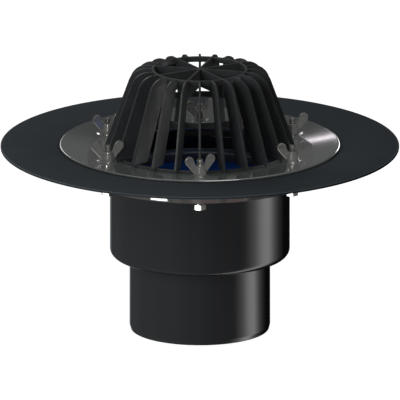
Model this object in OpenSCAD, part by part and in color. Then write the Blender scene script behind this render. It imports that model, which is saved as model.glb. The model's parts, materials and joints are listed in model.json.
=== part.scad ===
// Flat roof drain with a leaf guard, a clamped membrane collar and a lip seal for an extension pipe.
// Millimetres. The origin is the centre of the outlet's lower end, +Z is up and -Y is the front.

/* [Outlet spigot] */
// Outside diameter of the outlet spigot
spigot_d = 125; // [100:1:130]
// Wall thickness of the spigot
spigot_wall = 4.8; // [3:0.1:7]
// Length of the spigot below the cup
spigot_l = 67.2; // [40:0.1:120]
// Height of the lead-in taper at the spigot's end
lead_h = 4.5; // [1:0.1:10]
// Depth of the lead-in taper
lead_w = 1.2; // [0.3:0.1:2]

/* [Cup] */
// Outside diameter of the cup
cup_d = 160; // [156:1:180]
// Wall thickness of the cup
cup_wall = 5; // [4:0.1:7]
// Height of the cup from its underside to the flange
cup_h = 80.2; // [78:0.1:120]
// Thickness of the cup's floor
cup_floor = 5; // [4:0.1:8]
// Rounding of the cup's lower edge
cup_round = 7; // [3:0.5:8]
// Rounding inside the cup at its floor
cup_inner_round = 4; // [2:0.5:5]

/* [Top flange] */
// Width of the flange outside the bolt circle
flange_w = 9.4; // [8:0.1:16]
// Height of the flange's outer edge
flange_edge_h = 15.9; // [12:0.1:20]
// How far the throat is wider than the cup's inside, on each side
throat_flare = 4; // [1:0.5:4.5]
// Slope of the clamped surfaces towards the throat, in degrees
dish = 8; // [3:0.5:10]

/* [Membrane collar] */
// Thickness of the membrane
membrane_t = 1.2; // [0.8:0.1:3]
// Width of the free collar outside the clamp ring
collar_w = 52.6; // [20:0.1:120]

/* [Clamp ring] */
// Thickness of the clamp ring
clamp_t = 2; // [1.5:0.1:4]
// Width of the clamp ring outside the bolt circle
clamp_w = 30.1; // [16:0.1:45]
// Rounding of the clamp ring's outer edge
clamp_round = 1.4; // [0.3:0.1:1.4]
// Rounding of the clamp ring's inner edge
clamp_inner_round = 0.8; // [0.2:0.1:1.2]

/* [Backing ring] */
// Thickness of the backing ring
backing_t = 5; // [2:0.1:8]
// How far the backing ring stands out past the flange
backing_lip = 1; // [0:0.1:4]
// Edge rounding of the backing ring
backing_round = 0.6; // [0.2:0.1:0.9]
// Gap between the backing ring and the cup
backing_gap = 1; // [0.3:0.1:2]

/* [Bolts and nuts] */
// Thread diameter of the bolts
bolt_d = 6; // [5:0.5:8]
// Length of the bolts under the head
bolt_l = 40; // [38:1:60]
// Width of the bolt heads across their flats
head_w = 10; // [8:0.5:13]
// Height of the bolt heads
head_h = 6; // [3:0.1:8]
// Height of the chamfer at the bolts' ends
bolt_chamfer = 0.5; // [0.2:0.1:1]
// Outside diameter of the washers
washer_d = 12; // [10:0.5:14]
// Thickness of the washers
washer_t = 1.6; // [0.8:0.1:2.5]
// Gap between the washers and the strainer
bolt_gap = 2.8; // [2:0.1:6]
// Play round the bolts in the plates that they pass through
bolt_play = 0.3; // [0.2:0.1:0.6]
// Running play of a wing nut on its bolt, on each side
thread_play = 0.05; // [0.02:0.01:0.1]

/* [Wing nuts] */
// Span of a wing nut over both wings
wing_span = 30; // [24:0.5:31]
// Height of a wing nut
wing_h = 17.5; // [13:0.5:22]
// Rounding radius of the wing lobes
wing_lobe = 4.3; // [3:0.1:5]
// Thickness of the wings
wing_t = 2.4; // [1.5:0.1:3.5]
// Diameter of the nut's hub at its base
hub_base_d = 11.6; // [11:0.1:14]
// Diameter of the nut's hub at its top
hub_top_d = 9.4; // [9:0.1:11]
// Height of the nut's hub
hub_h = 8.6; // [6:0.1:10]
// Height above the nut's base at which the wings start
wing_rise = 0.8; // [0.3:0.1:2]

/* [Strainer] */
// Number of fins
fin_count = 24; // [12:4:32]
// Thickness of a fin
fin_t = 2.1; // [1.5:0.1:3]
// Width of a fin, measured level
fin_w = 19; // [16:0.5:24]
// Lean of the fins from upright, in degrees
fin_lean = 19.85; // [12:0.05:23]
// Height of the strainer from the underside of its fins
guard_h = 73.1; // [60:0.1:90]
// How far the fins reach out past the throat
guard_overlap = 6.8; // [4:0.1:7.5]
// Height of the fins' underside above the clamp ring's inner edge
fin_lift = 2.4; // [1.5:0.1:5]
// Rounding of the fins' shoulders
shoulder = 16; // [6:0.5:18]
// Height of the ring at the top of the strainer
top_ring_h = 4.9; // [3:0.1:8]
// Thickness of the top ring
top_ring_t = 2.4; // [1.5:0.1:4]
// How far the top ring reaches into the fins
top_ring_bite = 0.6; // [0.2:0.1:1.5]
// Height of the ring half way up the fins
mid_ring_h = 5.1; // [3:0.1:8]
// Thickness of the ring half way up the fins
mid_ring_t = 2; // [1.5:0.1:4]
// Height of the middle ring's underside above the fins' underside
mid_ring_rise = 32.6; // [20:0.1:40]
// Thickness of the base ring
base_ring_t = 1.7; // [1.2:0.1:3]
// Height of the base ring above the fins' underside
base_ring_rise = 0.8; // [0.5:0.1:4]
// Number of webs across the top
web_count = 8; // [4:1:12]
// Thickness of a web
web_t = 2; // [1.2:0.1:3]
// Height of a web
web_h = 16; // [6:0.1:20]
// Width of the foot under each fin
foot_w = 2.2; // [1.5:0.1:4]

/* [Seal] */
// Depth of the seal's ledge below the flange's underside
ledge_drop = 22; // [20:0.1:50]
// Width of the ledge in the cup
ledge_w = 4; // [3:0.1:4.4]
// Height of the ledge
ledge_h = 4; // [2:0.1:6]
// Height of the seal's heel
heel_h = 9.5; // [6:0.1:10]
// Width of the seal's heel
heel_w = 4.3; // [3.5:0.1:4.5]
// How far the lip is smaller than a pipe of the spigot's size, on each side
lip_grip = 2.5; // [0.5:0.1:4]
// How far the lip's edge hangs below the heel's top
lip_drop = 9; // [4:0.5:12]
// Thickness of the lip
lip_t = 2.2; // [1.5:0.1:3]
// Thickness of the lip at its root, measured upright
lip_root_t = 2.9; // [2:0.1:4]
// Play of the seal and its retainer in the cup, on each side
seal_play = 0.2; // [0.1:0.05:0.4]

/* [Seal retainer] */
// Height of the retainer
retainer_h = 10; // [6:0.1:11]
// Height of the retainer's wider upper part
retainer_rim_h = 2.8; // [1.8:0.1:4]
// Thickness of the retainer's sheet
retainer_t = 1.5; // [0.8:0.1:2]
// Inward step of the retainer
retainer_step = 3; // [2:0.1:3]

/* [Hidden] */
BOLTS = 6;
// Turn of each wing nut about its bolt, in degrees from +X; two stand less turned, clear of the fins
WING_TURNS = [28, 28, 17.5, 28, 28, 17.5];
// Turn of the bolt heads, so that a flat faces slightly left of the front
HEAD_TURN = 12;
FIRST_BOLT = -90;
FIRST_WEB = -105;
// Room round a washer on its flat seat
SEAT_ROOM = 0.8;
// Room between the strainer's base ring and the throat
BASE_ROOM = 0.3;
// How deep a wing is set into the nut's hub
WING_BITE = 0.3;

BLACK = [0.13, 0.14, 0.15];
SHEET = [0.17, 0.18, 0.19];
STEEL = [0.78, 0.79, 0.80];
BLUE = [0.05, 0.25, 0.65];

$fn = 96;
ARC_STEPS = 8;
// Bevel at sharp moulded edges
EDGE_CUT = 1.2;
// How far cutters and joined solids run past a face
CUT = 1;

spigot_r = spigot_d / 2;
bore_r = spigot_r - spigot_wall;
cup_r = cup_d / 2;
cup_in_r = cup_r - cup_wall;
throat_r = cup_in_r + throat_flare;
guard_r = throat_r + guard_overlap;
bolt_r = guard_r + bolt_gap + max(washer_d, hub_base_d) / 2;
flange_r = bolt_r + flange_w;
clamp_r = bolt_r + clamp_w;
collar_r = clamp_r + collar_w;
backing_r = flange_r + backing_lip;
hole_r = bolt_d / 2 + bolt_play;

cup_z = spigot_l;
flange_z = cup_z + cup_h;
backing_z = flange_z - backing_t;
ledge_z = flange_z - ledge_drop;
heel_top_z = ledge_z + heel_h;

slope = tan(dish);
// Height of the flange's sloping top at a radius
function flange_top(r) = flange_z + flange_edge_h + (r - flange_r) * slope;
function membrane_top(r) = flange_top(min(r, clamp_r)) + membrane_t;
function clamp_top(r) = membrane_top(r) + clamp_t;

seat_z = clamp_top(bolt_r);
seat_r = washer_d / 2 + SEAT_ROOM;
nut_z = seat_z + washer_t;
head_z = backing_z - washer_t;

guard_z = clamp_top(throat_r) + fin_lift;
guard_top = guard_z + guard_h;
lean = tan(fin_lean);
// Radius of a fin's outer and inner edge at a height
function fin_out(z) = guard_r - (z - guard_z) * lean;
function fin_in(z) = fin_out(z) - fin_w;
shoulder_z = guard_top - shoulder;
shoulder_r = fin_out(shoulder_z) - shoulder / cos(fin_lean);
mid_ring_z = guard_z + mid_ring_rise;
mid_ring_r = fin_in(mid_ring_z + mid_ring_h / 2) + mid_ring_t / 2;
top_ring_r = fin_in(guard_top - top_ring_h) + top_ring_bite;
base_ring_r = throat_r + base_ring_t + BASE_ROOM;
foot_r = guard_r - EDGE_CUT;

// Points of an arc about c, from angle a to angle b
function arc(c, r, a, b, steps = ARC_STEPS) = [
    for (i = [0:steps])
        let (t = a + (b - a) * i / steps) [c[0] + r * cos(t), c[1] + r * sin(t)]
];

// Angle on a circle about c where the line from point p touches it, on the side given by turn, 1 or -1
function touch(c, r, p, turn) = atan2(p[1] - c[1], p[0] - c[0]) + turn * acos(r / norm(p - c));

module at_bolt(i) {
    rotate(FIRST_BOLT + (i - 1) * 360 / BOLTS) translate([bolt_r, 0, 0]) children();
}

module bolt_holes(r) {
    for (i = [1:BOLTS]) at_bolt(i) cylinder(r = r, h = guard_top);
}

module drain_body() {
    floor_z = cup_z + cup_floor;
    profile = concat(
        [[bore_r, 0], [spigot_r - lead_w, 0], [spigot_r, lead_h], [spigot_r, cup_z]],
        arc([cup_r - cup_round, cup_z + cup_round], cup_round, -90, 0),
        [[cup_r, flange_z], [flange_r, flange_z], [flange_r, flange_top(flange_r)]],
        [[throat_r, flange_top(throat_r)], [cup_in_r, flange_top(throat_r) - throat_flare]],
        [[cup_in_r, ledge_z], [cup_in_r - ledge_w, ledge_z], [cup_in_r - ledge_w, ledge_z - ledge_h]],
        [[cup_in_r, ledge_z - ledge_h - ledge_w]],
        arc([cup_in_r - cup_inner_round, floor_z + cup_inner_round], cup_inner_round, 0, -90),
        [[bore_r + EDGE_CUT, floor_z], [bore_r, floor_z - EDGE_CUT]]
    );
    color(BLACK) difference() {
        rotate_extrude() polygon(profile);
        bolt_holes(hole_r);
    }
}

module backing_ring() {
    inner_r = cup_r + backing_gap;
    c = backing_round;
    profile = [
        [inner_r, backing_z + c], [inner_r + c, backing_z], [backing_r - c, backing_z],
        [backing_r, backing_z + c], [backing_r, flange_z - c], [backing_r - c, flange_z],
        [inner_r + c, flange_z], [inner_r, flange_z - c]
    ];
    color(STEEL) difference() {
        rotate_extrude() polygon(profile);
        bolt_holes(hole_r);
    }
}

module membrane_collar() {
    profile = [
        [throat_r, flange_top(throat_r)], [clamp_r, flange_top(clamp_r)], [collar_r, flange_top(clamp_r)],
        [collar_r, membrane_top(collar_r)], [clamp_r, membrane_top(clamp_r)],
        [throat_r, membrane_top(throat_r)]
    ];
    color(SHEET) difference() {
        rotate_extrude() polygon(profile);
        bolt_holes(hole_r);
    }
}

// The dished ring has a flat seat pressed into it at each bolt, level with the slope at the bolt's axis
module clamp_ring() {
    ri = clamp_inner_round;
    ro = clamp_round;
    profile = concat(
        [[throat_r, membrane_top(throat_r)], [clamp_r, membrane_top(clamp_r)]],
        arc([clamp_r - ro, clamp_top(clamp_r - ro) - ro], ro, 0, 90),
        arc([throat_r + ri, clamp_top(throat_r + ri) - ri], ri, 90, 180)
    );
    seat = [
        [bolt_r - seat_r - CUT, membrane_top(bolt_r - seat_r - CUT)],
        [bolt_r + seat_r + CUT, membrane_top(bolt_r + seat_r + CUT)],
        [bolt_r + seat_r + CUT, seat_z], [bolt_r - seat_r - CUT, seat_z]
    ];
    color(STEEL) difference() {
        union() {
            difference() {
                rotate_extrude() polygon(profile);
                for (i = [1:BOLTS]) at_bolt(i) translate([0, 0, seat_z])
                    cylinder(r = seat_r, h = clamp_t + CUT);
            }
            intersection() {
                rotate_extrude() polygon(seat);
                bolt_holes(seat_r);
            }
        }
        bolt_holes(hole_r);
    }
}

module ring(outer_r, thickness, bottom, height) {
    translate([0, 0, bottom]) rotate_extrude() translate([outer_r - thickness, 0])
        square([thickness, height]);
}

// One leaning fin: straight outer edge, rounded shoulder, level top, straight inner edge
module fin() {
    ring_z = guard_top - top_ring_h;
    ring_mid = top_ring_r - top_ring_t / 2;
    outline = concat(
        [[fin_in(guard_z), guard_z], [guard_r - EDGE_CUT, guard_z]],
        [[fin_out(guard_z + EDGE_CUT), guard_z + EDGE_CUT]],
        arc([shoulder_r, shoulder_z], shoulder, fin_lean, 90),
        [[ring_mid, guard_top], [ring_mid, ring_z], [fin_in(ring_z), ring_z]]
    );
    rotate([90, 0, 0]) linear_extrude(fin_t, center = true) polygon(outline);
}

module foot() {
    bottom = clamp_top(foot_r);
    translate([foot_r - foot_w, -fin_t / 2, bottom]) cube([foot_w, fin_t, guard_z + CUT - bottom]);
}

module strainer() {
    base_z = clamp_top(base_ring_r);
    color(BLACK) union() {
        for (i = [0:fin_count - 1]) rotate(i * 360 / fin_count) {
            fin();
            foot();
        }
        for (i = [0:web_count - 1]) rotate(FIRST_WEB + i * 360 / web_count)
            translate([0, -web_t / 2, guard_top - web_h]) cube([top_ring_r - top_ring_t / 2, web_t, web_h]);
        ring(base_ring_r, base_ring_t, base_z, guard_z + base_ring_rise - base_z);
        ring(mid_ring_r, mid_ring_t, mid_ring_z, mid_ring_h);
        ring(top_ring_r, top_ring_t, guard_top - top_ring_h, top_ring_h);
    }
}

module lip_seal() {
    outer = cup_in_r - seal_play;
    inner = outer - heel_w;
    lip_r = spigot_r - lip_grip;
    tip_z = heel_top_z - lip_drop;
    profile = [
        [outer, ledge_z], [outer, heel_top_z], [inner, heel_top_z], [lip_r, tip_z],
        [lip_r, tip_z - lip_t], [lip_r + lip_t / 2, tip_z - lip_t], [inner, heel_top_z - lip_root_t],
        [inner, ledge_z]
    ];
    color(BLUE) rotate_extrude() polygon(profile);
}

// Pressed sheet ring: a wide rim in the cup, a level step and a narrower skirt that holds the seal down
module seal_retainer() {
    outer = cup_in_r - seal_play;
    skirt = outer - retainer_step;
    top = heel_top_z + retainer_h;
    step_z = top - retainer_rim_h;
    profile = [
        [skirt - retainer_t, heel_top_z], [skirt, heel_top_z], [skirt, step_z - retainer_t],
        [outer, step_z - retainer_t], [outer, top], [outer - retainer_t, top],
        [outer - retainer_t, step_z], [skirt - retainer_t, step_z]
    ];
    color(STEEL) rotate_extrude() polygon(profile);
}

module washer(z) {
    translate([0, 0, z]) difference() {
        cylinder(d = washer_d, h = washer_t);
        translate([0, 0, -CUT]) cylinder(r = hole_r, h = washer_t + 2 * CUT);
    }
}

module bolt(i) {
    corner_r = head_w / 2 / cos(30);
    reach = corner_r - head_w / 2 + CUT;
    color(STEEL) at_bolt(i) {
        intersection() {
            translate([0, 0, head_z - head_h]) rotate(HEAD_TURN - (i - 1) * 360 / BOLTS)
                cylinder(r = corner_r, h = head_h, $fn = 6);
            translate([0, 0, head_z - head_h]) rotate_extrude()
                polygon([
                    [0, 0], [head_w / 2, 0], [head_w / 2 + reach, reach * tan(30)],
                    [head_w / 2 + reach, head_h + CUT], [0, head_h + CUT]
                ]);
        }
        translate([0, 0, head_z - CUT]) cylinder(d = bolt_d, h = bolt_l + CUT - bolt_chamfer);
        translate([0, 0, head_z + bolt_l - bolt_chamfer])
            cylinder(d1 = bolt_d, d2 = bolt_d - 2 * bolt_chamfer, h = bolt_chamfer);
    }
}

// A wing: round lobe, straight outer edge to the hub's foot, straight inner edge to the hub's top
module wing() {
    lobe = [wing_span / 2 - wing_lobe, wing_h - wing_lobe];
    foot = [hub_base_d / 2 - WING_BITE, wing_rise];
    neck = [hub_top_d / 2 - WING_BITE, hub_h];
    outer = touch(lobe, wing_lobe, foot, 1);
    inner = touch(lobe, wing_lobe, neck, -1) + 360;
    outline = concat(
        [[bolt_d / 2, foot[1]], foot],
        arc(lobe, wing_lobe, outer, inner, 2 * ARC_STEPS),
        [neck, [bolt_d / 2, hub_h]]
    );
    rotate([90, 0, 0]) linear_extrude(wing_t, center = true) polygon(outline);
}

module wing_nut(i) {
    angle = FIRST_BOLT + (i - 1) * 360 / BOLTS;
    color(STEEL) at_bolt(i) translate([0, 0, nut_z]) rotate(WING_TURNS[i - 1] - angle) difference() {
        union() {
            cylinder(d1 = hub_base_d, d2 = hub_top_d, h = hub_h);
            for (side = [0, 180]) rotate(side) wing();
        }
        translate([0, 0, -CUT]) cylinder(r = bolt_d / 2 + thread_play, h = hub_h + 2 * CUT);
    }
}

drain_body();
backing_ring();
membrane_collar();
clamp_ring();
strainer();
lip_seal();
seal_retainer();
for (i = [1:BOLTS]) {
    bolt(i);
    color(STEEL) at_bolt(i) washer(head_z);
    color(STEEL) at_bolt(i) washer(seat_z);
    wing_nut(i);
}
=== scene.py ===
import json
import math

import bmesh
import bpy
from mathutils import Matrix, Vector

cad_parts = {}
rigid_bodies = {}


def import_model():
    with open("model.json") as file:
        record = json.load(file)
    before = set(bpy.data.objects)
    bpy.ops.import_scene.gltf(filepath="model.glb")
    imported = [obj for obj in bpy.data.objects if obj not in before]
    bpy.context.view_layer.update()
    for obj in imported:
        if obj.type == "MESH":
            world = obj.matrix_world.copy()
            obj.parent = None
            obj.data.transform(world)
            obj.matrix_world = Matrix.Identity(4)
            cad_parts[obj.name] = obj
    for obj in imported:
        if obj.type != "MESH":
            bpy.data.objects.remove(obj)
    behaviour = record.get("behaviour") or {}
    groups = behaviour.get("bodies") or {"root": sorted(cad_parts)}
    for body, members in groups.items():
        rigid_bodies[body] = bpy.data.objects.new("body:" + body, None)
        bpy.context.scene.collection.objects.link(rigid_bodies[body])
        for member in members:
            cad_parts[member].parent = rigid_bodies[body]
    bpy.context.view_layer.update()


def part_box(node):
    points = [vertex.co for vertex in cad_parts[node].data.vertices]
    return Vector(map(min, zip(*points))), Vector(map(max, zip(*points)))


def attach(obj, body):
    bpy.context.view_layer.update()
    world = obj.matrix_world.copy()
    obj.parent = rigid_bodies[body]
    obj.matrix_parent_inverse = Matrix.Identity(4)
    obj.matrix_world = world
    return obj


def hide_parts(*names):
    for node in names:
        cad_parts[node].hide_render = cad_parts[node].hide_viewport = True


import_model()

MM = 0.001
BOLTS = 6
# steps in a full turn, for what is as wide as the drain and for small things
WIDE_STEPS, SMALL_STEPS = 256, 72


def node_box(name):
    """Lowest and highest corner of a CAD node, in millimetres."""
    low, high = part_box(name)
    return Vector(low) / MM, Vector(high) / MM


# ---------------------------------------------------------------- sizes, in millimetres

SPIGOT_R, BORE_R = 62.5, 57.7
CUP_R, CUP_IN_R, THROAT_R = 80.0, 75.0, 79.0
CUP_Z, FLOOR_Z = 67.2, 72.2
FLANGE_Z, FLANGE_EDGE_Z, FLANGE_R = 147.4, 163.3, 104.0
CLAMP_R, COLLAR_R = 124.7, 177.3
MEMBRANE_T, CLAMP_T = 1.2, 2.0
SLOPE = math.tan(math.radians(8))
LEDGE_Z, HEEL_TOP_Z, RETAINER_TOP_Z = 125.4, 134.9, 144.9
GUARD_R, FIN_W, FIN_T = 85.8, 19.0, 2.1
FIN_LEAN = math.tan(math.radians(19.85))
FINS, WEBS, FIRST_WEB = 24, 8, -105
WING_TURNS = (28, 28, 17.5, 28, 28, 17.5)
HEAD_TURN = 9
BOLT_D, HEAD_AF, HOLE_R = 6.0, 10.0, 3.3
WASHER_R, WASHER_T = 6.0, 1.6
CUP_ROOM, GUARD_FOOT_H = 0.2, 2.4

GUARD_TOP = node_box("strainer")[1].z
BACKING_Z = node_box("backing_ring")[0].z
SEAT_Z = node_box("washer_1")[0].z
NUT_Z = node_box("wing_nut_1")[0].z
HEAD_TOP_Z = node_box("head_washer_1")[0].z
HEAD_Z = node_box("bolt_1")[0].z
BOLT_TOP_Z = node_box("bolt_1")[1].z


def bolt_axis(i):
    """Where bolt i stands in plan."""
    low, high = node_box(f"washer_{i}")
    return (low.x + high.x) / 2, (low.y + high.y) / 2


def flange_top(r):
    """Height of the dished flange at radius r, as are the next two for what lies on it."""
    return FLANGE_EDGE_Z + (r - FLANGE_R) * SLOPE


def membrane_top(r):
    return flange_top(min(r, CLAMP_R)) + MEMBRANE_T


def clamp_top(r):
    return membrane_top(r) + CLAMP_T


GUARD_Z = clamp_top(THROAT_R) + GUARD_FOOT_H

# ---------------------------------------------------------------- drawing
# An outline is a list of Vectors; a shape is a pair of lists, its corners and its faces.


def rounded(corners, steps=6):
    """Closed outline from (x, y, radius) corners, each rounded by an arc that touches both its sides."""
    points = []
    for i, (x, y, radius) in enumerate(corners):
        corner = Vector((x, y))
        before = (Vector(corners[i - 1][:2]) - corner).normalized()
        after = (Vector(corners[(i + 1) % len(corners)][:2]) - corner).normalized()
        angle = before.angle(after)
        if radius == 0 or math.pi - angle < 0.01:
            points.append(corner)
            continue
        reach = radius / math.tan(angle / 2)
        centre = corner + (before + after).normalized() * radius / math.sin(angle / 2)
        start = corner + before * reach - centre
        end = corner + after * reach - centre
        first = math.atan2(start.y, start.x)
        turn = (math.atan2(end.y, end.x) - first + math.pi) % (2 * math.pi) - math.pi
        for k in range(steps + 1):
            a = first + turn * k / steps
            points.append(centre + Vector((math.cos(a), math.sin(a))) * radius)
    return points


def area(points):
    """The area inside an outline, positive if it runs counter-clockwise."""
    return sum(p.cross(q) for p, q in zip(points, points[1:] + points[:1])) / 2


def inset(points, amount):
    """The counter-clockwise outline moved inwards by amount."""
    moved = []
    for i, p in enumerate(points):
        u = (p - points[i - 1]).normalized()
        v = (points[(i + 1) % len(points)] - p).normalized()
        mitre = Vector((-u.y - v.y, u.x + v.x))
        moved.append(p + mitre * amount * 2 / max(mitre.length_squared, 0.5))
    return moved


def full_turn(steps):
    """The angles of equal steps all the way round."""
    return [2 * math.pi * k / steps for k in range(steps)]


def lathe(points, angles=None):
    """Turns a closed (radius, height) outline round the Z axis, in wide steps if no angles are given."""
    angles = angles or full_turn(WIDE_STEPS)
    n, turns = len(points), len(angles)
    verts = [(p.x * math.cos(a), p.x * math.sin(a), p.y) for a in angles for p in points]
    faces = []
    for s in range(turns):
        t = (s + 1) % turns
        for i in range(n):
            j = (i + 1) % n
            faces.append((s * n + i, s * n + j, t * n + j, t * n + i))
    return verts, faces


def plate(points, thickness, edge, steps=3):
    """An upright plate in the XZ plane with rounded edges, its thickness along Y."""
    if area(points) < 0:
        points = points[::-1]
    layers = []
    for side in (-1, 1):
        turns = range(steps, -1, -1) if side < 0 else range(steps + 1)
        for k in turns:
            a = math.pi / 2 * k / steps
            y = side * (thickness / 2 - edge + edge * math.sin(a))
            layers.append([(p.x, y, p.y) for p in inset(points, edge * (1 - math.cos(a)))])
    n = len(points)
    verts = [v for layer in layers for v in layer]
    faces = [tuple(range(n)), tuple(range(len(verts) - 1, len(verts) - n - 1, -1))]
    for s in range(len(layers) - 1):
        for i in range(n):
            j = (i + 1) % n
            faces.append((s * n + i, (s + 1) * n + i, (s + 1) * n + j, s * n + j))
    return verts, faces


def prism(points, bottom, top):
    """An upright prism on a plan outline."""
    n = len(points)
    verts = [(p.x, p.y, z) for z in (bottom, top) for p in points]
    faces = [tuple(range(n))[::-1], tuple(range(n, 2 * n))]
    faces += [(i, (i + 1) % n, n + (i + 1) % n, n + i) for i in range(n)]
    return verts, faces


def moved(shape, matrix):
    verts, faces = shape
    return [tuple(matrix @ Vector(v)) for v in verts], faces


def turned(shape, degrees):
    return moved(shape, Matrix.Rotation(math.radians(degrees), 4, "Z"))


def joined(shapes):
    """The shapes as one, each as it was."""
    verts, faces = [], []
    for more_verts, more_faces in shapes:
        offset = len(verts)
        verts += more_verts
        faces += [tuple(offset + k for k in f) for f in more_faces]
    return verts, faces


def to_mesh(shape, name="shape"):
    """A mesh of the shape, with its corners merged and its faces turned outwards."""
    mesh = bpy.data.meshes.new(name)
    mesh.from_pydata(shape[0], [], shape[1])
    bm = bmesh.new()
    bm.from_mesh(mesh)
    bmesh.ops.remove_doubles(bm, verts=bm.verts, dist=1e-5)
    bmesh.ops.recalc_face_normals(bm, faces=bm.faces)
    bm.to_mesh(mesh)
    bm.free()
    return mesh


def to_shape(mesh):
    return [tuple(v.co) for v in mesh.vertices], [tuple(p.vertices) for p in mesh.polygons]


def modified(shape, *modifiers):
    """The shape after modifiers, each given as (kind, settings)."""
    obj = bpy.data.objects.new("work", to_mesh(shape))
    bpy.context.collection.objects.link(obj)
    for kind, settings in modifiers:
        modifier = obj.modifiers.new(kind, kind)
        for key, value in settings.items():
            setattr(modifier, key, value)
    depsgraph = bpy.context.evaluated_depsgraph_get()
    mesh = bpy.data.meshes.new_from_object(obj.evaluated_get(depsgraph))
    result = to_shape(mesh)
    bpy.data.objects.remove(obj)
    bpy.data.meshes.remove(mesh)
    return result


def boolean(shape, other, operation):
    """The union, difference or intersection of two closed shapes."""
    tool = bpy.data.objects.new("tool", to_mesh(other))
    bpy.context.collection.objects.link(tool)
    settings = {"object": tool, "operation": operation, "solver": "MANIFOLD"}
    result = modified(shape, ("BOOLEAN", settings))
    bpy.data.objects.remove(tool)
    return result


def rod(radius, bottom, top, sides=32):
    ring = [Vector((radius * math.cos(a), radius * math.sin(a))) for a in full_turn(sides)]
    return prism(ring, bottom, top)


def bolt_holes(shape):
    """The shape with a hole at each bolt."""
    tools = []
    for i in range(1, BOLTS + 1):
        x, y = bolt_axis(i)
        tools.append(moved(rod(HOLE_R, 0, GUARD_TOP), Matrix.Translation((x, y, 0))))
    return boolean(shape, joined(tools), "DIFFERENCE")


def piece(name, shape, finish, nodes, body="drain", sharp=32):
    """Makes the piece that stands for the CAD nodes, smooth but for edges of more than sharp degrees."""
    mesh = to_mesh(shape, name)
    mesh.transform(Matrix.Scale(MM, 4))
    mesh.shade_smooth()
    mesh.set_sharp_from_angle(angle=math.radians(sharp))
    mesh.materials.append(finish)
    obj = bpy.data.objects.new(name, mesh)
    bpy.context.collection.objects.link(obj)
    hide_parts(*nodes)
    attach(obj, body)


# ---------------------------------------------------------------- finishes


def noise(nodes, links, place, size, detail):
    """Noise over patches of the given size, in metres."""
    texture = nodes.new("ShaderNodeTexNoise")
    texture.inputs["Scale"].default_value = 1 / size
    texture.inputs["Detail"].default_value = detail
    links.new(place.outputs["Object"], texture.inputs["Vector"])
    return texture.outputs["Fac"]


def turned_lines(nodes, links, place, pitch):
    """Fine rings round the drain's axis, as a lathe or a spun press leaves."""
    wave = nodes.new("ShaderNodeTexWave")
    wave.wave_type = "RINGS"
    wave.rings_direction = "Z"
    # a wave texture of scale 1 has a ring every 0.314 units
    wave.inputs["Scale"].default_value = 0.314 / pitch
    wave.inputs["Distortion"].default_value = 1.5
    wave.inputs["Detail"].default_value = 3
    links.new(place.outputs["Object"], wave.inputs["Vector"])
    return wave.outputs["Fac"]


def paint_light_and_shade_by_radius(nodes, links, shader, place, stops):
    """Paints light and shade into the colour, scaling it by the distance from the axis; a stop is (radius in
    millimetres, scale).
    """
    level = nodes.new("ShaderNodeVectorMath")
    level.operation = "MULTIPLY"
    level.inputs[1].default_value = (1, 1, 0)
    links.new(place.outputs["Object"], level.inputs[0])
    length = nodes.new("ShaderNodeVectorMath")
    length.operation = "LENGTH"
    links.new(level.outputs["Vector"], length.inputs[0])
    first, last = stops[0][0], stops[-1][0]
    share = nodes.new("ShaderNodeMapRange")
    share.inputs["From Min"].default_value = first * MM
    share.inputs["From Max"].default_value = last * MM
    links.new(length.outputs["Value"], share.inputs["Value"])
    ramp = nodes.new("ShaderNodeValToRGB")
    elements = ramp.color_ramp.elements
    while len(elements) < len(stops):
        elements.new(0.5)
    for element, (radius, scale) in zip(elements, stops):
        element.position = (radius - first) / (last - first)
        element.color = (scale, scale, scale, 1)
    links.new(share.outputs["Result"], ramp.inputs["Fac"])
    colour = nodes.new("ShaderNodeVectorMath")
    colour.operation = "MULTIPLY"
    links.new(shader.inputs["Base Color"].links[0].from_socket, colour.inputs[0])
    links.new(ramp.outputs["Color"], colour.inputs[1])
    links.new(colour.outputs["Vector"], shader.inputs["Base Color"])


def finish(name, low, high, patch, rough, grains, lines=(), stops=(), **sockets):
    """A procedural material. Sizes are in metres, but for the stops, which paint_light_and_shade_by_radius uses.

    The colour drifts from low to high over patches of size patch, and the roughness as rough says:
    (size, low, high). grains and lines are layers of bumps, each (size, strength, depth). sockets are
    values for the shader.
    """
    material = bpy.data.materials.new(name)
    material.use_nodes = True
    nodes, links = material.node_tree.nodes, material.node_tree.links
    shader = nodes["Principled BSDF"]
    for key, value in sockets.items():
        shader.inputs[key].default_value = value
    place = nodes.new("ShaderNodeTexCoord")
    middle = (0.3, 0.7)  # noise seldom leaves this range

    tones = nodes.new("ShaderNodeValToRGB")
    for element, position, colour in zip(tones.color_ramp.elements, middle, (low, high)):
        element.position = position
        element.color = (*colour, 1)
    links.new(noise(nodes, links, place, patch, 5), tones.inputs["Fac"])
    links.new(tones.outputs["Color"], shader.inputs["Base Color"])
    if stops:
        paint_light_and_shade_by_radius(nodes, links, shader, place, stops)

    limits = nodes.new("ShaderNodeMapRange")
    for socket, value in zip(("From Min", "From Max", "To Min", "To Max"), middle + rough[1:]):
        limits.inputs[socket].default_value = value
    links.new(noise(nodes, links, place, rough[0], 4), limits.inputs["Value"])
    links.new(limits.outputs["Result"], shader.inputs["Roughness"])

    layers = [(noise(nodes, links, place, size, 3), *bump) for size, *bump in grains]
    layers += [(turned_lines(nodes, links, place, pitch), *bump) for pitch, *bump in lines]
    normal = None
    for height, strength, depth in layers:
        bump = nodes.new("ShaderNodeBump")
        bump.inputs["Strength"].default_value = strength
        bump.inputs["Distance"].default_value = depth
        links.new(height, bump.inputs["Height"])
        if normal:
            links.new(normal, bump.inputs["Normal"])
        normal = bump.outputs["Normal"]
    links.new(normal, shader.inputs["Normal"])
    return material


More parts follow.
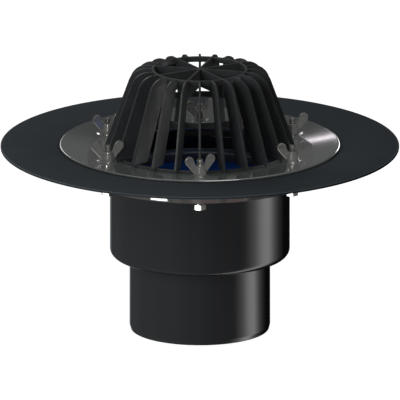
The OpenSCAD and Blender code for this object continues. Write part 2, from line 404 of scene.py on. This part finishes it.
def steel(name, tone, low, high, metallic, stops=()):
    """Spun or pressed sheet steel, with a roughness from low to high."""
    darker = tuple(c * 0.96 for c in tone)
    return finish(
        name, darker, tone, 0.03, rough=(0.015, low, high), grains=[(0.04, 0.05, 0.0003)],
        lines=[(0.0006, 0.08, 0.00002)], stops=stops, Metallic=metallic)


BODY = finish(
    "body_polyethylene", (0.0140, 0.0146, 0.0156), (0.0160, 0.0166, 0.0178), 0.05, rough=(0.03, 0.15, 0.19),
    grains=[(0.012, 0.12, 0.0002), (0.0009, 0.10, 0.00004)], IOR=1.36)
# painted shade darkens the membrane just outside the clamp ring; a painted highlight lightens the upper
# corner of the cut edge, and painted shade darkens its very rim
MEMBRANE = finish(
    "roofing_membrane", (0.0330, 0.0408, 0.0465), (0.0362, 0.0448, 0.0512), 0.04, rough=(0.02, 0.68, 0.74),
    grains=[(0.0011, 0.25, 0.00006)], IOR=1.15,
    stops=((CLAMP_R - 0.2, 0.35), (CLAMP_R + 3.2, 1), (COLLAR_R - 1.5, 1), (COLLAR_R - 1.1, 2.1),
           (COLLAR_R - 0.2, 2.1), (COLLAR_R, 0.5)))
STRAINER = finish(
    "strainer_plastic", (0.0236, 0.0250, 0.0262), (0.0293, 0.0311, 0.0326), 0.02, rough=(0.01, 0.40, 0.52),
    grains=[(0.0010, 0.25, 0.00006)], IOR=1.40)
# painted shade: the clamp ring's colour is darkened at its inner edge
SHEET_STEEL = steel("spun_steel", (0.60, 0.615, 0.61), 0.09, 0.11, 0.7,
                    stops=((THROAT_R + 0.3, 0.3), (THROAT_R + 1.0, 1)))
RETAINER_STEEL = steel("retainer_steel", (0.42, 0.45, 0.46), 0.20, 0.26, 0.45)
PLATE_STEEL = steel("ring_steel", (0.66, 0.65, 0.64), 0.04, 0.06, 0.8)
FASTENER = finish(
    "fastener_steel", (0.56, 0.56, 0.53), (0.64, 0.63, 0.60), 0.004, rough=(0.002, 0.12, 0.18),
    grains=[(0.0015, 0.08, 0.00005)], Metallic=0.8)
RUBBER = finish(
    "blue_rubber", (0.003, 0.110, 0.560), (0.004, 0.130, 0.660), 0.02, rough=(0.01, 0.45, 0.55),
    grains=[(0.002, 0.15, 0.00008)], IOR=1.25)

# ---------------------------------------------------------------- body and rings
# A corner of an outline is (radius from the axis, height, rounding).


def drain_body():
    """Outline of the moulding: spigot, cup, flange, flared throat and the ledge that the seal sits on."""
    lead_w, lead_h, flare_h, ledge = 1.2, 4.5, 4, 4
    throat_z = flange_top(THROAT_R)
    return rounded([
        (BORE_R, 0, 0.5), (SPIGOT_R - lead_w, 0, 0.8), (SPIGOT_R, lead_h, 3), (SPIGOT_R, CUP_Z, 1.5),
        (CUP_R, CUP_Z, 7), (CUP_R, FLANGE_Z, 1), (FLANGE_R, FLANGE_Z, 0.8), (FLANGE_R, FLANGE_EDGE_Z, 0.8),
        (THROAT_R, throat_z, 0.8), (CUP_IN_R, throat_z - flare_h, 1), (CUP_IN_R, LEDGE_Z, 0.3),
        (CUP_IN_R - ledge, LEDGE_Z, 0.4), (CUP_IN_R - ledge, LEDGE_Z - ledge, 0.6),
        (CUP_IN_R, LEDGE_Z - 2 * ledge, 1), (CUP_IN_R, FLOOR_Z, 4), (BORE_R, FLOOR_Z, 1.5),
    ], 8)


def backing_ring():
    """Outline of the ring under the flange, 1 mm clear of the cup and 1 mm wider than the flange."""
    inner, outer, edge = CUP_R + 1, FLANGE_R + 1, 0.6
    return rounded([
        (inner, BACKING_Z, edge), (outer, BACKING_Z, edge), (outer, FLANGE_Z, edge), (inner, FLANGE_Z, edge),
    ])


def membrane_collar():
    """Outline of the collar: thin in the clamp and thicker towards its rim, as the photograph shows."""
    low, high, below, above = flange_top(CLAMP_R), membrane_top(CLAMP_R), 0.3, 0.6
    return rounded([
        (THROAT_R, flange_top(THROAT_R), 0.2), (CLAMP_R, low, 0), (COLLAR_R, low - below, 0.5),
        (COLLAR_R, high + above, 0.7), (CLAMP_R, high, 0), (THROAT_R, membrane_top(THROAT_R), 0.3),
    ])


def clamp_ring():
    """The dished ring, with a flat seat pressed into it under each washer."""
    seat_r, blend_r = 6.9, 9.6  # a seat is flat to the first, and blends into the slope up to the second
    rim = rounded([
        (THROAT_R, membrane_top(THROAT_R), 0), (CLAMP_R, membrane_top(CLAMP_R), 0.3),
        (CLAMP_R, clamp_top(CLAMP_R), 1.0), (THROAT_R, clamp_top(THROAT_R), 0.8),
    ], 8)
    # the long top side gets points close together, so that the seats can be pressed into it
    top = max(range(len(rim)), key=lambda k: rim[k].x - rim[(k + 1) % len(rim)].x)
    a, b = rim[top], rim[(top + 1) % len(rim)]
    parts = 60
    profile = rim[:top + 1] + [a.lerp(b, k / parts) for k in range(1, parts)] + rim[top + 1:]
    # each sixth of the turn, in degrees: (first angle, step, number of steps), with fine steps at the bolt
    sixth = ((0, 2, 12), (24, 0.4, 30), (36, 2, 12))
    angles = [60 * i - 120 + first + step * k
              for i in range(BOLTS) for first, step, count in sixth for k in range(count)]
    verts, faces = lathe(profile, [math.radians(v) for v in angles])
    axes = [bolt_axis(i) for i in range(1, BOLTS + 1)]
    pressed = []
    for x, y, z in verts:
        r = math.hypot(x, y)
        if z > membrane_top(r) + CLAMP_T / 2:
            d = min(math.hypot(x - bx, y - by) for bx, by in axes)
            w = min(max((d - seat_r) / (blend_r - seat_r), 0), 1)
            w = w * w * (3 - 2 * w)
            z = SEAT_Z + (z - SEAT_Z) * w
        pressed.append((x, y, z))
    return pressed, faces


def lip_seal():
    """Outline of the seal: a heel on the ledge, and a lip that slopes down and in to grip a 125 mm pipe."""
    outer, lip_r = CUP_IN_R - CUP_ROOM, SPIGOT_R - 2.5
    inner, tip_z = outer - 4.3, HEEL_TOP_Z - 9
    tip_w, tip_h, lip_t = 1.1, 2.2, 2.9
    return rounded([
        (outer, LEDGE_Z, 0.5), (outer, HEEL_TOP_Z, 0.5), (inner, HEEL_TOP_Z, 1.2), (lip_r, tip_z, 0.8),
        (lip_r, tip_z - tip_h, 0.7), (lip_r + tip_w, tip_z - tip_h, 0.4), (inner, HEEL_TOP_Z - lip_t, 1),
        (inner, LEDGE_Z, 0.5),
    ])


def seal_retainer():
    """Outline of the stepped sheet ring that holds the seal down."""
    outer, sheet = CUP_IN_R - CUP_ROOM, 1.5
    skirt, step_z = outer - 3, RETAINER_TOP_Z - 2.8
    return rounded([
        (skirt - sheet, HEEL_TOP_Z, 0.3), (skirt, HEEL_TOP_Z, 0.3), (skirt, step_z - sheet, 0.3),
        (outer, step_z - sheet, 1), (outer, RETAINER_TOP_Z, 0.3), (outer - sheet, RETAINER_TOP_Z, 0.3),
        (outer - sheet, step_z, 0.4), (skirt - sheet, step_z, 1),
    ])


piece("body", bolt_holes(lathe(drain_body())), BODY, ["drain_body"])
piece("flange_ring", bolt_holes(lathe(backing_ring())), PLATE_STEEL, ["backing_ring"])
piece("collar", bolt_holes(lathe(membrane_collar())), MEMBRANE, ["membrane_collar"])
piece("ring", bolt_holes(clamp_ring()), SHEET_STEEL, ["clamp_ring"])
piece("seal", lathe(lip_seal()), RUBBER, ["lip_seal"])
piece("retainer", lathe(seal_retainer()), RETAINER_STEEL, ["seal_retainer"])

# ---------------------------------------------------------------- strainer


def fin_out(z):
    """Radius of a fin's outer edge at height z; fin_in is that of its inner edge."""
    return GUARD_R - (z - GUARD_Z) * FIN_LEAN


def fin_in(z):
    return fin_out(z) - FIN_W


def strainer():
    """Fins with a foot each, rings at the base, half way up and at the top, and webs across the top."""
    top_ring_h, mid_ring_h, mid_ring_lift, web_h = 4.9, 5.1, 32.6, 16
    ring_z, mid_z = GUARD_TOP - top_ring_h, GUARD_Z + mid_ring_lift
    top_r = fin_in(ring_z) + 0.6
    hub_r = top_r - 1.2
    mid_r = fin_in(mid_z + mid_ring_h / 2) + 1
    base_r = THROAT_R + 2.0
    fin = plate(rounded([
        (fin_in(GUARD_Z), GUARD_Z, 0.8), (GUARD_R, GUARD_Z, 1.4), (fin_out(GUARD_TOP), GUARD_TOP, 16),
        (hub_r, GUARD_TOP, 0), (hub_r, ring_z, 0), (fin_in(ring_z), ring_z, 0.8),
    ], 10), FIN_T, 0.35)
    foot_w, foot_out = 2.2, GUARD_R - 1.2
    foot_in, foot_z, foot_top = foot_out - foot_w, clamp_top(foot_out), GUARD_Z + 1
    foot = plate(rounded([
        (foot_in, foot_z, 0.3), (foot_out, foot_z, 0.3), (foot_out, foot_top, 0), (foot_in, foot_top, 0),
    ], 3), FIN_T, 0.3)
    fins = joined([turned(fin, 360 * k / FINS) for k in range(FINS)])
    feet = joined([turned(foot, 360 * k / FINS) for k in range(FINS)])

    def ring(outer, thickness, bottom, top, edge=0.4):
        inner = outer - thickness
        corners = [(inner, bottom, edge), (outer, bottom, edge), (outer, top, edge), (inner, top, edge)]
        return lathe(rounded(corners, 4))

    rings = joined([ring(base_r, 1.7, clamp_top(base_r), GUARD_Z + 0.8),
                    ring(mid_r, 2.0, mid_z, mid_z + mid_ring_h), ring(top_r, 2.4, ring_z, GUARD_TOP)])
    # the webs' plan: from one to the next it runs in to where their sides meet
    star = []
    half_t, half_gap = 1, 180 / WEBS
    for k in range(WEBS):
        a = FIRST_WEB + 360 * k / WEBS
        corners = [(Vector((hub_r, -half_t)), a), (Vector((hub_r, half_t)), a),
                   (Vector((half_t / math.sin(math.radians(half_gap)), 0)), a + half_gap)]
        for corner, turn in corners:
            corner.rotate(Matrix.Rotation(math.radians(turn), 2))
            star.append(corner)
    webs = prism(star, GUARD_TOP - web_h, GUARD_TOP)
    shape = boolean(fins, rings, "UNION")
    shape = boolean(shape, webs, "UNION")
    return boolean(shape, feet, "UNION")


piece("leaf_guard", strainer(), STRAINER, ["strainer"], sharp=40)

# ---------------------------------------------------------------- fasteners


def threaded_rod(radius, pitch, bottom, top, chamfer=0.6, sides=40, rows=8):
    """A rod with a right-hand 60 degree thread and a chamfered top."""
    depth = 0.58 * pitch
    flank, flat = 1.35, 0.15  # how steep the groove's sides are, and how much of it the crest cuts off
    levels = max(2, round((top - bottom) / pitch * rows))
    verts = []
    for j in range(levels + 1):
        z = bottom + (top - bottom) * j / levels
        for k, a in enumerate(full_turn(sides)):
            phase = (z / pitch - k / sides) % 1
            groove = min(max(flank * (1 - abs(2 * phase - 1)) - flat, 0), 1)
            r = min(radius - depth * groove, radius - chamfer + (top - z))
            verts.append((r * math.cos(a), r * math.sin(a), z))
    faces = [tuple(range(sides))[::-1], tuple(levels * sides + k for k in range(sides))]
    for j in range(levels):
        for k in range(sides):
            m = (k + 1) % sides
            faces.append((j * sides + k, j * sides + m, (j + 1) * sides + m, (j + 1) * sides + k))
    return verts, faces


def bolt():
    """A hexagon bolt, its head down, with a chamfered lower face and a round one against the washer."""
    round_h, round_r, pitch = 1.4, 4.5, 1.0
    chamfer_r, chamfer_h, room = 5.1, 0.45, 0.1
    corner_r = HEAD_AF / 2 / math.cos(math.radians(30))
    face_z = HEAD_TOP_Z - round_h
    head = rod(corner_r, HEAD_Z, face_z, 6)
    chamfer = rounded([(0, HEAD_Z, 0), (chamfer_r, HEAD_Z, 0.1), (corner_r + room, HEAD_Z + chamfer_h, 0),
                       (corner_r + room, face_z - 0.4, 0), (chamfer_r, face_z, 0.1), (0, face_z, 0)])
    head = boolean(head, lathe(chamfer, full_turn(SMALL_STEPS)), "INTERSECT")
    head = boolean(head, rod(round_r, face_z - 1, HEAD_TOP_Z, 48), "UNION")
    shank = threaded_rod(BOLT_D / 2, pitch, HEAD_TOP_Z - 0.5, BOLT_TOP_Z)
    return boolean(head, shank, "UNION")


def washer(bottom):
    top = bottom + WASHER_T
    outline = rounded([(HOLE_R, bottom, 0.15), (WASHER_R, bottom, 0.15),
                       (WASHER_R, top, 0.3), (HOLE_R, top, 0.2)], 4)
    return lathe(outline, full_turn(SMALL_STEPS))


def wing_nut():
    """A cast wing nut, its wings along X. Remeshing rounds their roots, as a casting's are."""
    span, height, lobe_r, wing_t, root_x, arc_steps = 15.0, 17.5, 4.3, 2.5, 1.2, 28
    base_r, hub_r, hub_h = 6.3, 4.3, 8.6
    bore_r, sink_r = 3.05, 3.7
    lobe = Vector((span - lobe_r, height - lobe_r))
    foot, neck = Vector((5.5, 0.8)), Vector((4.0, 7.4))  # where a wing's lower and upper side leave the hub

    def touch(p, side):
        """Angle at which a line from p meets the lobe."""
        d = p - lobe
        return math.atan2(d.y, d.x) + side * math.acos(lobe_r / d.length)

    first, last = touch(foot, 1), touch(neck, -1) + 2 * math.pi
    outline = [Vector((root_x, foot.y)), foot]
    outline += [lobe + Vector((math.cos(a), math.sin(a))) * lobe_r
                for a in (first + (last - first) * k / arc_steps for k in range(arc_steps + 1))]
    outline += [neck, Vector((root_x, neck.y))]
    wing = plate(outline, wing_t, 0.5, 4)
    hub = rounded([(0, 0, 0), (base_r, 0, 0.4), (base_r - 0.3, 2.2, 1.5), (hub_r, hub_h, 1.0), (0, hub_h, 0)])
    shape = boolean(lathe(hub, full_turn(SMALL_STEPS)), wing, "UNION")
    shape = boolean(shape, turned(wing, 180), "UNION")
    shape = modified(shape, ("REMESH", {"mode": "VOXEL", "voxel_size": 0.24}),
                     ("SMOOTH", {"factor": 0.5, "iterations": 2}))
    # the bore is countersunk at both ends
    bore = rounded([(0, -1, 0), (sink_r, -1, 0), (sink_r, 0.1, 0), (bore_r, 0.75, 0), (bore_r, 7.9, 0),
                    (sink_r, 8.5, 0), (sink_r, 10, 0), (0, 10, 0)])
    return boolean(shape, lathe(bore, full_turn(48)), "DIFFERENCE")


BOLT_SHAPE = bolt()
NUT_SHAPE = wing_nut()
for i in range(1, BOLTS + 1):
    at = Matrix.Translation((*bolt_axis(i), 0))
    head_turn = Matrix.Rotation(math.radians(HEAD_TURN - 90), 4, "Z")
    wing_turn = Matrix.Rotation(math.radians(WING_TURNS[i - 1]), 4, "Z")
    lift = Matrix.Translation((0, 0, NUT_Z))
    for name, shape, node, body in (
            ("screw", moved(BOLT_SHAPE, at @ head_turn), "bolt", "drain"),
            ("lower_washer", moved(washer(HEAD_TOP_Z), at), "head_washer", "drain"),
            ("upper_washer", moved(washer(SEAT_Z), at), "washer", "drain"),
            ("wings", moved(NUT_SHAPE, at @ lift @ wing_turn), "wing_nut", f"nut_{i}")):
        piece(f"{name}_{i}", shape, FASTENER, [f"{node}_{i}"], body)

# ---------------------------------------------------------------- floor, light and camera

# degrees, and metres
VIEW_DOWN, VIEW_WIDTH, VIEW_AIM = 15.23, 0.35565, (0.00014, 0, 0.11742)


def floor():
    """A white floor that melts into the backdrop. No piece mirrors it, or is lit or shaded by it."""
    mesh = bpy.data.meshes.new("floor")
    side = 6
    corners = [(-side, -side, 0), (side, -side, 0), (side, side, 0), (-side, side, 0)]
    mesh.from_pydata(corners, [], [(0, 1, 2, 3)])
    material = bpy.data.materials.new("floor")
    material.use_nodes = True
    shader = material.node_tree.nodes["Principled BSDF"]
    shader.inputs["Base Color"].default_value = (0.9, 0.9, 0.9, 1)
    shader.inputs["Roughness"].default_value = 0.9
    shader.inputs["Emission Color"].default_value = (1, 1, 1, 1)
    shader.inputs["Emission Strength"].default_value = 0.97
    mesh.materials.append(material)
    obj = bpy.data.objects.new("floor", mesh)
    bpy.context.collection.objects.link(obj)
    obj.visible_glossy = obj.visible_diffuse = obj.visible_shadow = False


class Shading:
    """Short ways to build a node tree that works out light from a direction."""

    def __init__(self, tree, direction, brightest):
        self.nodes, self.links, self.brightest = tree.nodes, tree.links, brightest
        parts = self.nodes.new("ShaderNodeSeparateXYZ")
        self.links.new(direction, parts.inputs["Vector"])
        self.height = parts.outputs["Z"]
        front = self.math("MULTIPLY", parts.outputs["Y"], -1.0)
        turn = self.math("ARCTAN2", parts.outputs["X"], front)
        self.round_share = self.spread(turn, -math.pi, math.pi, "LINEAR")

    def math(self, operation, first, second):
        node = self.nodes.new("ShaderNodeMath")
        node.operation = operation
        for socket, value in zip(node.inputs, (first, second)):
            if isinstance(value, float):
                socket.default_value = value
            else:
                self.links.new(value, socket)
        return node.outputs["Value"]

    def spread(self, value, low, high, kind="SMOOTHSTEP"):
        """From 0 at low to 1 at high."""
        node = self.nodes.new("ShaderNodeMapRange")
        node.interpolation_type = kind
        node.inputs["From Min"].default_value = low
        node.inputs["From Max"].default_value = high
        self.links.new(value, node.inputs["Value"])
        return node.outputs["Result"]

    def ramp(self, value, stops):
        """Radiance by value, from 0 to 1; a stop is (value, radiance), the radiance a number or a colour."""
        node = self.nodes.new("ShaderNodeValToRGB")
        elements = node.color_ramp.elements
        while len(elements) < len(stops):
            elements.new(0.5)
        for element, (position, radiance) in zip(elements, stops):
            colour = radiance if isinstance(radiance, tuple) else (radiance,) * 3
            element.position = position
            element.color = tuple(c / self.brightest for c in colour) + (1,)
        self.links.new(value, node.inputs["Fac"])
        return node.outputs["Color"]

    def by_angle(self, stops):
        """Radiance by azimuth, in degrees to the right from the front."""
        return self.ramp(self.round_share, [((angle + 180) / 360, radiance) for angle, radiance in stops])

    def mix(self, share, first, second):
        node = self.nodes.new("ShaderNodeMix")
        node.data_type = "RGBA"
        self.links.new(share, node.inputs["Factor"])
        self.links.new(first, node.inputs["A"])
        self.links.new(second, node.inputs["B"])
        return node.outputs["Result"]


def studio():
    """What every piece reflects: narrow panels low in front, a dim band round the horizon, light overhead."""
    world = bpy.data.worlds.new("studio")
    bpy.context.scene.world = world
    world.use_nodes = True
    tree = world.node_tree
    place = tree.nodes.new("ShaderNodeTexCoord")
    s = Shading(tree, place.outputs["Generated"], brightest=4.0)
    rose, grey = (0.118, 0.088, 0.090), 0.110
    below = s.by_angle((
        (-180, 0.03), (-110, 0.05), (-90, 0.10), (-56, 0.11), (-28, 0.08), (-26, 0.11), (-20, 0.11),
        (-17, 0.08), (-12, 0.08), (-11, rose), (-8, rose), (-6, 0.16), (0, 0.15), (2, rose), (16, rose),
        (18, grey), (22, 0.06), (25, 0.06), (28, rose), (44, rose), (46, 0.15), (49, 0.05), (60, 0.04),
        (70, 0.08), (74, 0.03), (140, 0.005), (180, 0.005)))
    above = s.ramp(s.height, (
        (0.0, 0.085), (0.08, 0.09), (0.16, 0.09), (0.27, 0.09), (0.38, 0.02), (0.6, 0.04), (1.0, 0.34)))
    light = s.mix(s.spread(s.height, -0.12, -0.06), below, above)
    shade = tree.nodes["Background"]
    shade.inputs["Strength"].default_value = s.brightest
    tree.links.new(light, shade.inputs["Color"])


def receivers(*starts):
    """A set of the pieces whose names start so, for a light to fall on or to be stopped by."""
    group = bpy.data.collections.new("lit")
    for obj in bpy.data.objects:
        if obj.name.startswith(starts):
            group.objects.link(obj)
    return group


def bowl(name, stops, pieces):
    """A wide bowl of light below the middle of the cup, which only the given pieces see."""
    mesh = bpy.data.meshes.new(name)
    bm = bmesh.new()
    bmesh.ops.create_uvsphere(bm, u_segments=48, v_segments=24, radius=5)
    above = [v for v in bm.verts if v.co.z > 0.01]
    bmesh.ops.delete(bm, geom=above, context="VERTS")
    bm.to_mesh(mesh)
    bm.free()
    material = bpy.data.materials.new(name)
    material.use_nodes = True
    tree = material.node_tree
    tree.nodes.remove(tree.nodes["Principled BSDF"])
    place = tree.nodes.new("ShaderNodeTexCoord")
    s = Shading(tree, place.outputs["Object"], brightest=6.0)
    glow = tree.nodes.new("ShaderNodeEmission")
    glow.inputs["Strength"].default_value = s.brightest
    tree.links.new(s.by_angle(stops), glow.inputs["Color"])
    clear = tree.nodes.new("ShaderNodeBsdfTransparent")
    both = tree.nodes.new("ShaderNodeAddShader")
    tree.links.new(glow.outputs["Emission"], both.inputs[0])
    tree.links.new(clear.outputs["BSDF"], both.inputs[1])
    tree.links.new(both.outputs["Shader"], tree.nodes["Material Output"].inputs["Surface"])
    mesh.materials.append(material)
    obj = bpy.data.objects.new(name, mesh)
    obj.location.z = 0.1
    obj.visible_camera = obj.visible_shadow = obj.visible_diffuse = False
    obj.light_linking.receiver_collection = pieces
    bpy.context.collection.objects.link(obj)


def lamp(name, azimuth, elevation, width, height, radiance, pieces, colour=(1.0, 1.0, 1.0),
         aim=(0, 0, 0.17), away=3, blockers=None, glossy=True):
    """A rectangular light that falls on the given pieces.

    It stands away metres from aim, azimuth degrees to the right from the front and elevation degrees up.
    Only the blockers shade it, or everything if there are none. If it isn't glossy, no piece mirrors it.
    """
    data = bpy.data.lights.new(name, "AREA")
    data.shape = "RECTANGLE"
    data.size, data.size_y, data.color = width, height, colour
    data.energy = radiance * math.pi * width * height
    obj = bpy.data.objects.new(name, data)
    bpy.context.collection.objects.link(obj)
    a, e = math.radians(azimuth), math.radians(elevation)
    toward = Vector((math.sin(a) * math.cos(e), -math.cos(a) * math.cos(e), math.sin(e)))
    obj.location = Vector(aim) + toward * away
    obj.rotation_euler = (-toward).to_track_quat("-Z", "Y").to_euler()
    obj.light_linking.receiver_collection = pieces
    obj.light_linking.blocker_collection = blockers
    obj.visible_glossy = glossy


def camera():
    """The photograph's view, with no perspective."""
    data = bpy.data.cameras.new("camera")
    data.type = "ORTHO"
    data.ortho_scale = VIEW_WIDTH
    data.clip_end = 20
    obj = bpy.data.objects.new("camera", data)
    bpy.context.collection.objects.link(obj)
    lower = math.radians(VIEW_DOWN)
    away = Vector((0, -math.cos(lower), math.sin(lower)))
    obj.location = Vector(VIEW_AIM) + away * 2
    obj.rotation_euler = (-away).to_track_quat("-Z", "Y").to_euler()
    bpy.context.scene.camera = obj


bpy.context.scene.view_settings.view_transform = "Standard"
floor()
studio()

# what the round body reflects, by degrees to the right from the front: dim and cool, and bright at its right
COOL = (0.91, 1.0, 1.07)
DIM = [(-180, 0.45), (-166, 0.30), (-155, 0.04), (-115, 0.34), (-80, 0.62), (-40, 0.72), (-20, 0.60),
       (0, 0.50), (25, 0.40), (50, 0.32)]
BRIGHT = [(61, 0.40), (76, 1.9), (88, 4.4), (99, 4.4), (111, 1.05), (122, 0.2), (135, 0.0), (180, 0.0)]
bowl("body_light", [(a, tuple(c * v for c in COOL)) for a, v in DIM] + BRIGHT, receivers("body"))

STEEL = receivers("flange_ring", "ring", "retainer", "screw", "upper", "lower", "wings")
RING, GUARD, WINGS, HEADS = (receivers(start) for start in ("ring", "leaf_guard", "wings", "screw"))
UNSHADED = receivers("floor")

# the clamp ring: a streak at the right of its back, a fill, and a light for each end of its rim
lamp("streak", 184.8, 18.2, 0.50, 0.32, 2.4, RING, colour=(1.0, 0.91, 0.98), aim=(0.107, 0.032, 0.168),
     away=12)
lamp("ring_fill", 20, 45, 1.4, 1.4, 2.5, RING, colour=(0.95, 1.0, 0.99), blockers=UNSHADED)
lamp("left_rim", 197, 14, 1.05, 1.3, 1.2, RING)
lamp("right_rim", 162.5, 10, 1.15, 0.9, 3.2, RING)

# the steel below the collar, and the fasteners
lamp("low_panel", -40, -15, 0.85, 0.5, 2.6, STEEL)
lamp("head_fill", 76, -15, 1.0, 1.0, 0.16, HEADS)
lamp("sparkle", -8, 22, 0.25, 0.25, 40, receivers("wings", "screw", "upper"))
lamp("nut_fill", -10, 30, 1.4, 1.2, 3.5, receivers("wings", "upper"), glossy=False)

# boxes over the back, for the matt pieces' far sides, and the strainer's own light from left, right and front
lamp("soft_box", 208, 40, 1.4, 1.4, 5.6, receivers("collar", "seal"))
lamp("guard_box", 208, 40, 1.4, 1.4, 3.6, GUARD)
lamp("fin_key", -60, 12, 1.2, 1.2, 8, GUARD, glossy=False)
lamp("side_strip", 99, -14, 2.4, 4.0, 6, GUARD, away=12, blockers=UNSHADED)
lamp("fin_fill", 18, 14, 1.4, 1.2, 2.0, GUARD, blockers=UNSHADED, glossy=False)

# what is left: lines on the wings, the front of strainer and body, the bolt heads, the collar's cut edge
lamp("wing_panel", 46, -15, 2.0, 0.9, 0.9, WINGS, blockers=UNSHADED)
lamp("front_fill", -35, 30, 1.4, 1.2, 6, receivers("leaf_guard", "body"))
lamp("head_light", -43, -12, 0.8, 0.8, 3, HEADS)
lamp("edge_light", -35, 4, 1.4, 0.6, 30, receivers("collar"))

camera()
